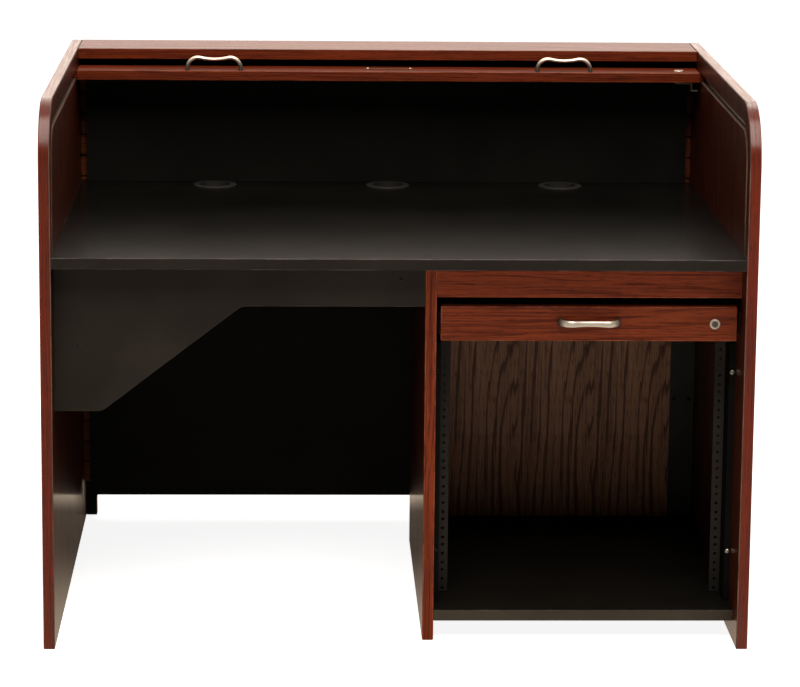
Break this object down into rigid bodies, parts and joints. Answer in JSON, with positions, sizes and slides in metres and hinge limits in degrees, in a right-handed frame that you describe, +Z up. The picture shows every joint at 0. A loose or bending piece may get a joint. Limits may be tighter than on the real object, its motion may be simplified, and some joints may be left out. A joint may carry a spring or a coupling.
{
  "type": "roll-top workstation desk",
  "caption": "Roll-top workstation desk with a tambour curtain in routed side tracks, black worktop with cable grommets, kneehole, drawer and a rack bay.",
  "frame": {"origin": "middle of the floor outline", "axes": "+X to the sitter's right, -Y towards the sitter, +Z up"},
  "size_m": [1.17, 0.908, 0.908],
  "materials": {
    "stained_oak": "mahogany stain on oak veneer, satin lacquer",
    "black_laminate": "matt black laminate on board",
    "drawer_wood": "dark stained wood, clear sealed",
    "black_steel": "black powder coat",
    "black_plastic": "moulded, fine texture",
    "satin_nickel": "brushed satin nickel",
    "lock_metal": "nickel plated",
    "slide_steel": "black coated steel",
    "screw_steel": "zinc plated",
    "canvas": "dyed cotton canvas"
  },
  "bodies": {
    "carcass": {"left_side_panel": "stained_oak", "right_side_panel": "stained_oak", "top_panel": "stained_oak", "divider_panel": "stained_oak", "bay_back_panel": "stained_oak", "pedestal_apron": "stained_oak", "back_panel": "stained_oak", "tambour_slats": "stained_oak", "worktop": "black_laminate", "bay_floor": "black_laminate", "inner_back_panel": "black_laminate", "kneehole_back_panel": "black_laminate", "kneehole_apron": "black_laminate", "rail_spacer_left": "black_laminate", "rail_spacer_right": "black_laminate", "worktop_cleat_left": "drawer_wood", "worktop_cleat_right": "drawer_wood", "rack_rail_left": "black_steel", "rack_rail_right": "black_steel", "bay_strip_left": "black_steel", "bay_strip_right": "black_steel", "grommet_left": "black_plastic", "grommet_centre": "black_plastic", "grommet_right": "black_plastic", "slide_outer_left": "slide_steel", "slide_outer_right": "slide_steel", "rail_screws": "screw_steel", "bay_strip_screws": "screw_steel", "tambour_canvas": "canvas"},
    "tambour_lead": {"tambour_lead_rail": "stained_oak", "tambour_handle_left": "satin_nickel", "tambour_handle_right": "satin_nickel", "tambour_handle_screws": "screw_steel", "tambour_lock_barrel": "lock_metal"},
    "tambour_lock": {"tambour_lock_plug": "lock_metal", "tambour_lock_cam": "lock_metal"},
    "drawer": {"drawer_front": "stained_oak", "drawer_side_left": "drawer_wood", "drawer_side_right": "drawer_wood", "drawer_back": "drawer_wood", "drawer_bottom": "drawer_wood", "drawer_handle": "satin_nickel", "drawer_handle_screws": "screw_steel", "drawer_lock_barrel": "lock_metal", "slide_inner_left": "slide_steel", "slide_inner_right": "slide_steel"},
    "slide_middle": {"slide_middle_left": "slide_steel", "slide_middle_right": "slide_steel"},
    "drawer_lock": {"drawer_lock_plug": "lock_metal", "drawer_lock_cam": "lock_metal"}
  },
  "joints": [
    {"name": "tambour_slide", "type": "slide", "parent": "carcass", "child": "tambour_lead", "axis": [0, -1, 0], "range_m": [0, 0.595], "deforming": ["tambour_slats", "tambour_canvas"]},
    {"name": "tambour_lock_turn", "type": "hinge", "parent": "tambour_lead", "child": "tambour_lock", "pos_m": [0.528, 0.273, 0.868], "axis": [0, 0, -1], "range_deg": [0, 90]},
    {"name": "drawer_slide", "type": "slide", "parent": "carcass", "child": "drawer", "axis": [0, -1, 0], "range_m": [0, 0.4]},
    {"name": "slide_middle_run", "type": "slide", "parent": "carcass", "child": "slide_middle", "axis": [0, -1, 0], "range_m": [0, 0.2]},
    {"name": "drawer_lock_turn", "type": "hinge", "parent": "drawer", "child": "drawer_lock", "pos_m": [0.5225, -0.401, 0.54225], "axis": [0, 1, 0], "range_deg": [0, 90]}
  ],
  "couplings": [
    {"joint": "slide_middle_run", "follows": "drawer_slide", "ratio": 0.5}
  ]
}
